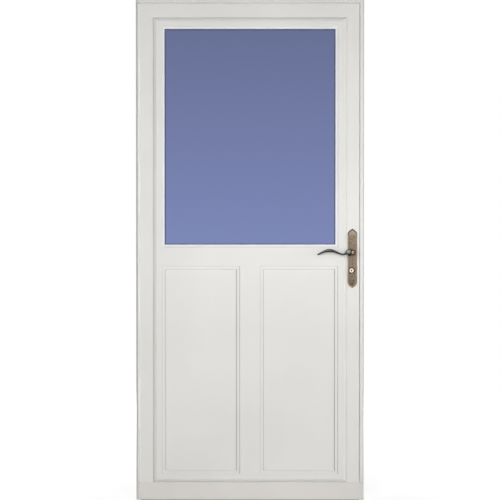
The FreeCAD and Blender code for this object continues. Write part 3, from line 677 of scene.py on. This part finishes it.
def screw_skin(centres, axis, radius, height):
    """Heads at centres: the dome falls as the square of the radius, and a cross is sunk near either arm."""
    axis = np.asarray(axis, float)
    first = np.array([0.0, 0.0, 1.0])
    second = np.cross(axis, first)
    turn = np.linspace(0.0, 2.0 * np.pi, head_points, endpoint=False)[None, :]
    u = radius * head_shares * np.cos(turn)
    v = radius * head_shares * np.sin(turn)
    near = np.minimum(np.abs(u), np.abs(v)) < cross_half_width * radius
    cross = near & (head_shares < cross_reach)
    rise = height * (1.0 - dome_fall * head_shares ** 2) - cross_depth * height * cross
    rise[-1] = -skirt_depth * height
    head = u[..., None] * first + v[..., None] * second + rise[..., None] * axis
    rows, columns = u.shape
    heads = np.asarray(centres, float)[:, None, None, :] + head
    starts = np.arange(len(centres)) * rows * columns
    quads = grid_quads(rows, columns) + starts[:, None, None]
    lid = (rows - 1) * columns + np.arange(columns)
    return heads.reshape(-1, 3), quads.reshape(-1, 4), [lid + start for start in starts]


mounts = {mount["name"]: mount for mount in record["mounts"]}
hinge_mounts = [mount for name, mount in mounts.items() if name.startswith("hinge_screws")]
screw_depth = hinge_mounts[-1]["pos_m"][1]
screw_heights = [mount["pos_m"][2] + way * mount["dims"]["spacing_y_mm"] * mm / 2
                 for mount in hinge_mounts for way in (-1, 1)]
web_metal = 2.0 * mm
for side, way in (("hinge", 1), ("latch", -1)):
    web_x = mounts[side + "_screws_inner"]["pos_m"][0] + way * web_metal
    spots = [(web_x, screw_depth, height) for height in screw_heights]
    put_piece(side + "_jamb_screws", screw_skin(spots, (way, 0, 0), *jamb_head), finishes["white_paint"],
              "frame", sharp=screw_sharp)

plate_field = plate_profile[-1, 1]
screw_lift = 88.0 * mm
spots = [(plate_x, room_face + plate_field, plate_mid + way * screw_lift) for way in (-1, 1)]
put_piece("inner_plate_screws", screw_skin(spots, (0, 1, 0), *plate_head), screw_brass, "door",
          sharp=screw_sharp)

screw_margin = 8.0 * mm
for name, host, way, body in (("strike_screws", "strike_plate", -1, "frame"),
                              ("lock_face_screws", "lock_box", 1, "door")):
    low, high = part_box(host)
    face_x = low.x if way < 0 else high.x
    centre_y = (low.y + high.y) / 2
    spots = [(face_x, centre_y, low.z + screw_margin), (face_x, centre_y, high.z - screw_margin)]
    put_piece(name, screw_skin(spots, (way, 0, 0), *edge_head), finishes["zinc_steel"], body,
              sharp=screw_sharp)

# Stage, light and camera
low, high = (np.array(corner) for corner in cad_box)
middle_x = (low[0] + high[0]) / 2
unit_height = high[2]
white = (1.0, 1.0, 1.0, 1.0)

floor_reach = 40.0
floor_corners = [(-floor_reach, -floor_reach, 0.0), (floor_reach, -floor_reach, 0.0),
                 (floor_reach, floor_reach, 0.0), (-floor_reach, floor_reach, 0.0)]
floor_mesh = bpy.data.meshes.new("studio_floor")
floor_mesh.from_pydata(floor_corners, [], [(0, 1, 2, 3)])
floor = bpy.data.objects.new("studio_floor", floor_mesh)
scene.collection.objects.link(floor)


def by_ray(tree, lit, seen, surface):
    """One shader for the light that falls on the door, another for rays that see the background.

    Those are rays from the camera, off gloss, or through glass.
    """
    rays = tree.nodes.new("ShaderNodeLightPath").outputs
    either = worked_out(tree, "MAXIMUM", rays["Is Camera Ray"], rays["Is Glossy Ray"])
    pick = tree.nodes.new("ShaderNodeMixShader")
    tree.links.new(worked_out(tree, "MAXIMUM", either, rays["Is Transmission Ray"]), pick.inputs["Fac"])
    tree.links.new(lit.outputs[0], pick.inputs[1])
    tree.links.new(seen.outputs[0], pick.inputs[2])
    tree.links.new(pick.outputs[0], surface)


# The floor that is seen keeps the door's shadow near it, and goes over to plain white further away
near_floor, mid_floor, far_floor = 0.6, 2.4, 4.2
near_glow, far_glow = 0.59, 1.0
near_cover = 0.78
bounce_colour = (0.86, 0.81, 0.77, 1.0)
floor_finish, tree, shader, place = new_finish("studio_floor")
tree.nodes.remove(shader)
from_door = add_node(tree, "ShaderNodeVectorMath")
from_door.operation = "DISTANCE"
from_door.inputs[1].default_value = (middle_x, 0.0, 0.0)
tree.links.new(place.outputs["Object"], from_door.inputs[0])
away = from_door.outputs["Value"]
glow = add_node(tree, "ShaderNodeEmission", Color=white)
glow_level = mapped(tree, away, From_Min=near_floor, From_Max=mid_floor, To_Min=near_glow, To_Max=far_glow)
tree.links.new(glow_level, glow.inputs["Strength"])
seen_cover = tree.nodes.new("ShaderNodeBsdfDiffuse")
cover_level = mapped(tree, away, From_Min=mid_floor, From_Max=far_floor, To_Min=near_cover, To_Max=0.0)
tree.links.new(cover_level, seen_cover.inputs["Color"])
seen_floor = tree.nodes.new("ShaderNodeAddShader")
tree.links.new(seen_cover.outputs[0], seen_floor.inputs[0])
tree.links.new(glow.outputs[0], seen_floor.inputs[1])
bounce = add_node(tree, "ShaderNodeBsdfDiffuse", Color=bounce_colour)
by_ray(tree, bounce, seen_floor, tree.nodes["Material Output"].inputs["Surface"])
floor_mesh.materials.append(floor_finish)

# Soft light from all round, weaker from overhead; the background itself is white
world_level, world_overhead = 0.40, 0.02
overhead_z = 0.6
world = bpy.data.worlds.new("studio")
scene.world = world
world.use_nodes = True
tree = world.node_tree
tree.nodes.clear()
sky = tree.nodes.new("ShaderNodeTexCoord")
soft = add_node(tree, "ShaderNodeBackground", Color=white)
level = mapped(tree, part_of(tree, sky.outputs["Generated"], "Z"),
               From_Max=overhead_z, To_Min=world_level, To_Max=world_overhead)
tree.links.new(level, soft.inputs["Strength"])
backdrop = add_node(tree, "ShaderNodeBackground", Color=white, Strength=1.0)
by_ray(tree, soft, backdrop, tree.nodes.new("ShaderNodeOutputWorld").inputs["Surface"])


def soft_box(name, place, aim, width, height, power):
    """A rectangular lamp that faces aim and isn't mirrored; both points count X from the door's middle."""
    place, aim = (Vector((middle_x + point[0], point[1], point[2])) for point in (place, aim))
    lamp = bpy.data.lights.new(name, "AREA")
    lamp.shape = "RECTANGLE"
    lamp.size = width
    lamp.size_y = height
    lamp.energy = power
    holder = bpy.data.objects.new(name, lamp)
    holder.location = place
    holder.rotation_euler = (aim - place).to_track_quat("-Z", "Y").to_euler()
    holder.visible_camera = False
    holder.visible_glossy = False
    holder.visible_transmission = False
    scene.collection.objects.link(holder)


leaf_middle = (0.0, 0.0, 1.1)
near_handle = (0.2, 0.0, 1.15)
soft_box("key_from_latch_side", (5.0, -4.0, 1.4), leaf_middle, width=3.2, height=2.4, power=92.0)
soft_box("fill_from_front", (0.28, -1.6, 1.2), near_handle, width=0.7, height=0.5, power=9.2)
soft_box("fill_from_hinge_side", (-2.0, -5.0, 1.5), leaf_middle, width=2.4, height=2.4, power=86.0)
soft_box("fill_from_room_side", (-1.5, 4.5, 1.7), leaf_middle, width=3.2, height=2.4, power=185.0)

# The camera sees the whole height of the unit, a little from above
sensor = 36.0
distance = 6.0
camera_tilt = math.radians(0.9)
lens_trim = 1.0028
view_reach = 200.0
aim = Vector((middle_x, -10.0 * mm, unit_height / 2 + 0.25 * mm))
camera_data = bpy.data.cameras.new("camera")
camera_data.sensor_width = sensor
camera_data.lens = sensor * distance / unit_height * lens_trim
camera_data.clip_end = view_reach
camera = bpy.data.objects.new("camera", camera_data)
camera.location = aim + Vector((0.0, -distance, distance * math.tan(camera_tilt)))
camera.rotation_euler = (aim - camera.location).to_track_quat("-Z", "Y").to_euler()
scene.collection.objects.link(camera)
scene.camera = camera

scene.view_settings.view_transform = "Standard"
